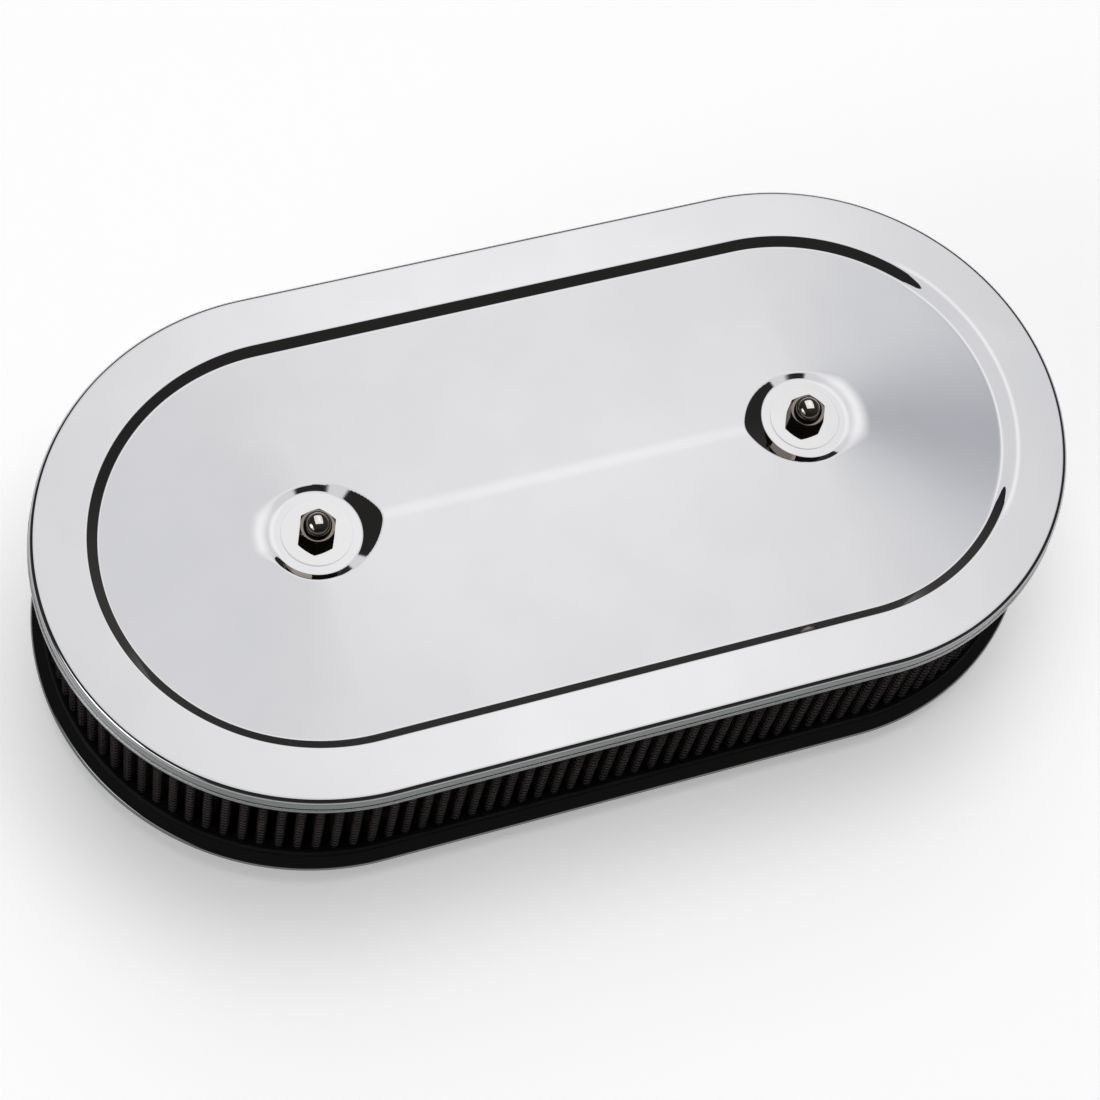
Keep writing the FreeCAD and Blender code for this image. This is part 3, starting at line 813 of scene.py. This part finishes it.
def makeBase(material):
    shell = newShell()
    thick, floor, rim, foot = base["thick"], base["floor"], base["rim"], base["foot"]
    outer, bend, inside = base["outer"], base["bend"], base["insideBend"]
    bore, cup, ledge, lip, patch = base["bore"], base["cup"], base["ledge"], base["lip"], base["patch"]
    neck = roundedLine([
        (patch, floor - thick, 0, 0), (cup + thick, floor - thick, inside, 5),
        (cup + thick, ledge - thick, bend, 7),
        (bore + thick, ledge - thick, 0.1, 1), (bore + thick, lip, 0.2, 2), (bore, lip, 0.2, 2),
        (bore, ledge, 0.6, 4), (cup, ledge, inside, 5), (cup, floor, bend, 7), (patch, floor, 0, 0),
    ])
    edge = roundedLine([
        (lid["seam"], floor, 0, 0), (lid["stepInner"], floor, bend, 6), (lid["stepOuter"], rim, bend, 6),
        *[(radius, rim, 0, 0) for radius in base["rollPoints"]],
        (outer, rim, bend, 9), (outer, foot, 0.25, 3), (outer - thick, foot, 0.25, 3),
        (outer - thick, rim - thick, inside, 5), (lid["stepOuter"], rim - thick, bend, 5),
        (lid["stepInner"], floor - thick, bend, 5), (lid["seam"], floor - thick, 0, 0),
    ])
    angles = [angle for angle, far in roofRays()]
    for half in (1, -1):
        for level, under in ((floor, False), (floor - thick, True)):
            addPatch(shell, half, [patch], base["patchRings"], lambda x, y: level, straightUp, under)
        addTurned(shell, half, neck, angles)
    addOvalEdge(shell, edge, rimWay)
    finishShell(shell, "base_skin", "base_chrome", material, "base_pan")


makeBase(baseChrome)

washer = {
    "bore": 3.4,                  # millimetres
    "outer": 14.85,
    "chamfer": 0.22,
    "top": 96.5,
    "foot": 95.7,
    "edgeLean": 12.0,             # degrees that the rounded edge seems to look outwards
    "split": 0.0002,              # keeps two ways apart at one corner
    "steps": 120,
}


def makeWasher(side, material):
    shell = newShell()
    lean = math.radians(washer["edgeLean"])
    edge, up, down = Vector((math.sin(lean), math.cos(lean))), Vector((0, 1)), Vector((0, -1))
    bore, outer, chamfer, split = washer["bore"], washer["outer"], washer["chamfer"], washer["split"]
    top, foot = washer["top"], washer["foot"]
    section = [(Vector(spot), way) for spot, way in (
        ((bore, top), up), ((outer - chamfer, top), up), ((outer, top - chamfer), edge),
        ((outer, foot), edge),
        ((outer, foot - split), down), ((bore, foot), down), ((bore, top - split), Vector((-1, 0))),
    )]
    angles = [360 * step / washer["steps"] for step in range(washer["steps"])]
    addTurned(shell, 1 if side == "right" else -1, section, angles)
    finishShell(shell, side + "_satin_washer", "washer_chrome", material, side + "_washer")


for side in ("left", "right"):
    makeWasher(side, washerChrome)

stud = {
    "radius": 3.175,
    "core": 2.42,                 # radius at the bottom of the thread
    "shank": 2.85,
    "pitch": 1.27,
    "low": 1.5,
    "lowerEnd": 17.5,
    "upperStart": 80.1,
    "high": 104.1,
    "chamfer": 0.6,
    "sides": 28,
    "levels": 8,                  # for each turn of the thread
    "crest": (1.3, 0.12),         # how steep the thread's flanks are and how wide its crests
    "fade": (0.8, 0.4),           # from the thread into the shank
    "spare": 0.6,                 # how far the threaded lengths run on past their ends
}


def studRadius(height, angle):
    # crests and valleys of the thread, which run out into the shank and the chamfers
    turn = (height / stud["pitch"] - angle / (2 * math.pi)) % 1
    crest = abs(2 * turn - 1)
    crest = max(0.0, min(1.0, crest * stud["crest"][0] - stud["crest"][1]))
    threaded = stud["core"] + (stud["radius"] - stud["core"]) * crest
    deep, shallow = stud["fade"]
    blend = smoothStep(height, stud["lowerEnd"] - deep, stud["lowerEnd"] + shallow)
    blend *= 1 - smoothStep(height, stud["upperStart"] - shallow, stud["upperStart"] + deep)
    radius = threaded + (stud["shank"] - threaded) * blend
    end = min(height - stud["low"], stud["high"] - height)
    return min(radius, stud["radius"] - stud["chamfer"] + end)


def makeStud(side, material):
    centre = -studX if side == "left" else studX
    levels = []
    lower = (stud["low"], stud["lowerEnd"] + stud["spare"])
    upper = (stud["upperStart"] - stud["spare"], stud["high"])
    for low, high in (lower, upper):
        steps = int((high - low) / stud["pitch"] * stud["levels"])
        levels += [low + (high - low) * step / steps for step in range(steps + 1)]
    sides = stud["sides"]
    spots, faces = [], []
    for level in levels:
        for corner in range(sides):
            angle = 2 * math.pi * corner / sides
            radius = studRadius(level, angle)
            x, y = centre + radius * math.cos(angle), radius * math.sin(angle)
            spots.append((x * mm, y * mm, level * mm))
    for row in range(len(levels) - 1):
        here, above = row * sides, (row + 1) * sides
        for corner in range(sides):
            after = (corner + 1) % sides
            faces.append((here + corner, here + after, above + after, above + corner))
    faces.append(tuple(reversed(range(sides))))
    faces.append(tuple(range((len(levels) - 1) * sides, len(levels) * sides)))
    made = addPiece(side + "_threaded_stud", "housing", spots, faces, material)
    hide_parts(side + "_stud")


for side in ("left", "right"):
    makeStud(side, studSteel)
print("studs made")

element = {
    "count": 148,
    "middle": 102.7 * mm,       # radius that the pleats are spaced along
    "foot": 24 * mm,
    "top": 85 * mm,
    "gauzeTip": 110.4 * mm,
    "gauzeRoot": 95.2 * mm,
    "gauzeThick": 1.2 * mm,
    "tipRound": 1.55 * mm,
    "foldSteps": 8,             # round each tip and each root
    "gauzeOver": 0.5 * mm,      # how far the gauze runs into the seals
    "wireOver": 0.3 * mm,       # and the wires
    "wireOut": 0.16 * mm,       # from the gauze to the wires
    "wireRadius": 0.13 * mm,
    "wireGap": 1.2 * mm,
    "wireSway": 0.05 * mm,
    "strandRadius": 0.30 * mm,
    "rowGap": 3.0 * mm,
    "rowLean": 0.55,            # how steeply the strands run down from the middle of a pleat
    "rowSlant": 0.14,           # one step of slant, which differs from pleat to pleat
    "wireSpan": 3.4 * mm,       # how far the wires run down each side of a pleat
    # painted shade: below these heights the strands darken towards near black
    "footShadeSpan": (0.026, 0.046), # heights in metres over which the strands grow lighter
}
pitch = (4 * reach + 2 * math.pi * element["middle"]) / element["count"]


def foldLine(inset):
    # one pleat's section, as pairs of distance along and radius, moved inwards by an inset
    tipRound = element["tipRound"] - inset
    valleyRound = pitch / 2 - element["tipRound"] + inset
    tipCentre = element["gauzeTip"] - element["tipRound"]
    rootCentre = element["gauzeRoot"] + (pitch / 2 - element["tipRound"])
    steps = element["foldSteps"]
    turns = [math.radians(-90 + 180 * step / steps) for step in range(steps + 1)]
    tip = [(tipRound * math.sin(turn), tipCentre + tipRound * math.cos(turn)) for turn in turns]
    root = [(pitch / 2 + valleyRound * math.sin(turn), rootCentre - valleyRound * math.cos(turn))
            for turn in turns]
    return tip + root


def makeGauze(material):
    outer, inner = foldLine(0), foldLine(element["gauzeThick"])
    low, high = element["foot"] - element["gauzeOver"], element["top"] + element["gauzeOver"]
    spots, faces = [], []
    for line in (outer, inner):
        for level in (low, high):
            for index in range(element["count"]):
                for along, radius in line:
                    (x, y), ways = onOval((index + 0.5) * pitch + along, radius, element["middle"])
                    spots.append((x, y, level))
    loop = element["count"] * len(outer)
    for index in range(loop):
        after = (index + 1) % loop
        faces.append((index, after, loop + after, loop + index))
        faces.append((2 * loop + after, 2 * loop + index, 3 * loop + index, 3 * loop + after))
        faces.append((index, 2 * loop + index, 2 * loop + after, after))
        faces.append((loop + after, 3 * loop + after, 3 * loop + index, loop + index))
    made = addPiece("gauze", "housing", spots, faces, material)
    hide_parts("filter_media")


def wirePath():
    # places along one pleat's outer face, with the way out of the face at each
    roundness = element["tipRound"] + element["wireOut"]
    centre = element["gauzeTip"] - element["tipRound"]
    half = math.pi * roundness / 2 + element["wireSpan"]
    steps = int(2 * half / element["wireGap"])
    path = []
    for step in range(steps + 1):
        run = (step - steps / 2) * element["wireGap"]
        angle = max(-math.pi / 2, min(math.pi / 2, run / roundness))
        down = max(0, abs(run) - math.pi * roundness / 2)
        along = roundness * math.sin(angle)
        radius = centre + roundness * math.cos(angle) - down
        path.append((along, radius, math.sin(angle), math.cos(angle)))
    return path


def makeScreen(material):
    path = wirePath()
    rows = int((element["top"] - element["foot"]) / element["rowGap"])
    first = (element["top"] + element["foot"] - (rows - 1) * element["rowGap"]) / 2
    corners = [math.radians(angle) for angle in (90, 210, 330)]
    thick, strand = element["wireRadius"], element["strandRadius"]
    quarters = ("front", "right", "back", "left")
    share = element["count"] // 4
    total = 0
    for quarter, name in enumerate(quarters):
        spots, faces = [], []
        start = quarter * share
        stop = element["count"] if quarter == 3 else start + share
        for index in range(start, stop):
            centre = (index + 0.5) * pitch
            line = []
            for along, radius, sideways, outwards in path:
                (x, y), ways = onOval(centre + along, radius, element["middle"])
                turned = (ways[0] * outwards - ways[1] * sideways, ways[1] * outwards + ways[0] * sideways)
                line.append((x, y, turned[0], turned[1]))
            last = len(line) - 1
            slant = ((index * 7) % 5 - 2) * element["rowSlant"]
            leans = [slant * along - element["rowLean"] * abs(along) for along, *others in path]
            for row in range(rows):
                level = first + row * element["rowGap"]
                begin = len(spots)
                for step, (x, y, nx, ny) in enumerate(line):
                    sway = element["wireSway"] * (1 if (step + row) % 2 else -1)
                    if step in (0, last):
                        sway = -3 * element["wireSway"]
                    for corner in corners:
                        out = sway + strand * math.sin(corner)
                        height = level + leans[step] + strand * math.cos(corner)
                        spots.append((x + nx * out, y + ny * out, height))
                for step in range(last):
                    a = begin + 3 * step
                    for corner in range(3):
                        other = (corner + 1) % 3
                        faces.append((a + corner, a + other, a + 3 + other, a + 3 + corner))
            for x, y, nx, ny in line:
                begin = len(spots)
                for level in (element["foot"] - element["wireOver"], element["top"] + element["wireOver"]):
                    for corner in corners:
                        out, along = thick * math.sin(corner), thick * math.cos(corner)
                        spots.append((x + nx * out - ny * along, y + ny * out + nx * along, level))
                for corner in range(3):
                    other = (corner + 1) % 3
                    faces.append((begin + corner, begin + 3 + corner, begin + 3 + other, begin + other))
        made = addPiece("screen_" + name, "housing", spots, faces, material)
        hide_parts("outer_screen")
        total += 2 * len(faces)
    print("screen wires made:", total, "triangles")


def gauzeMaterial():
    made, tree, shader = newMaterial("oiledGauze")
    dark, paler = (0.005, 0.003, 0.003, 1), (0.010, 0.005, 0.005, 1)
    colour = useGroup(tree, tone, Scale=120.0, First=dark, Second=paler)
    feed(tree, colour.outputs["Color"], shader.inputs["Base Color"])
    addHaze(tree, shader, 60.0, 0.6, 0.85)
    addBump(tree, shader, 900.0, 0.8, 0.8, 0.0002)
    return made


def wireMaterial(name, first, second, low, high, metallic, foot=None, shine=0.5):
    made, tree, shader = newMaterial(name)
    shader.inputs["Metallic"].default_value = metallic
    shader.inputs["Specular IOR Level"].default_value = shine
    colour = useGroup(tree, tone, Scale=200.0, First=(*first, 1), Second=(*second, 1))
    # painted shade: the strands get darker towards their foot
    if foot:
        start, end = element["footShadeSpan"]
        raised = useGroup(tree, heightShade, Foot=(*foot, 1), Low=start, High=end)
        feed(tree, colour.outputs["Color"], raised.inputs["Crown"])
        colour = raised
    feed(tree, colour.outputs["Color"], shader.inputs["Base Color"])
    addHaze(tree, shader, 90.0, low, high)
    return made


makeGauze(gauzeMaterial())
# the strands' dark foot colour is painted shade at the bottom of the pleats
makeScreen(wireMaterial(
    "darkStrand", (0.016, 0.0095, 0.0095), (0.042, 0.024, 0.023), 0.5, 0.7, 0.0,
    foot=(0.003, 0.002, 0.002), shine=0.1,
))

cage = {
    "middle": 94.2 * mm,
    "foot": 23.6 * mm,
    "top": 85.4 * mm,
    "wire": 0.28 * mm,
    "gap": 3.4 * mm,
    "ringShare": 0.7,           # the wires' radii as shares of the wire
    "ringInset": 0.3,
    "postShare": 0.8,
    "postOut": 0.1 * mm,
}


def makeCage(material):
    # welded wire inside the pleats: rings, and uprights just outside them
    around = 4 * reach + 2 * math.pi * cage["middle"]
    count = 2 * int(around / cage["gap"] / 2)
    corners = [math.radians(angle) for angle in (0, 90, 180, 270)]
    spots, faces = [], []
    rings = int((cage["top"] - cage["foot"]) / cage["gap"]) + 1
    first = (cage["top"] + cage["foot"] - (rings - 1) * cage["gap"]) / 2
    ringWire, postWire = cage["ringShare"] * cage["wire"], cage["postShare"] * cage["wire"]
    for ring in range(rings):
        begin = len(spots)
        for index in range(count):
            for corner in corners:
                radius = cage["middle"] - cage["ringInset"] * cage["wire"] + ringWire * math.cos(corner)
                (x, y), ways = onOval(index * around / count, radius, cage["middle"])
                spots.append((x, y, first + ring * cage["gap"] + ringWire * math.sin(corner)))
        for index in range(count):
            for corner in range(4):
                a, b = begin + 4 * index, begin + 4 * ((index + 1) % count)
                other = (corner + 1) % 4
                faces.append((a + corner, a + other, b + other, b + corner))
    for index in range(count):
        (x, y), ways = onOval(index * around / count, cage["middle"], cage["middle"])
        begin = len(spots)
        for level in (cage["foot"], cage["top"]):
            for corner in corners:
                out, along = postWire * math.cos(corner) + cage["postOut"], postWire * math.sin(corner)
                place = (x + ways[0] * out - ways[1] * along, y + ways[1] * out + ways[0] * along)
                spots.append((*place, level))
        for corner in range(4):
            other = (corner + 1) % 4
            faces.append((begin + corner, begin + other, begin + 4 + other, begin + 4 + corner))
    made = addPiece("cage", "housing", spots, faces, material)
    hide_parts("inner_screen")
    print("cage made:", 2 * len(faces), "triangles")


makeCage(wireMaterial("cageWire", (0.42, 0.42, 0.41), (0.52, 0.52, 0.50), 0.30, 0.45, 1.0))


bpy.context.scene.view_settings.view_transform = "Standard"
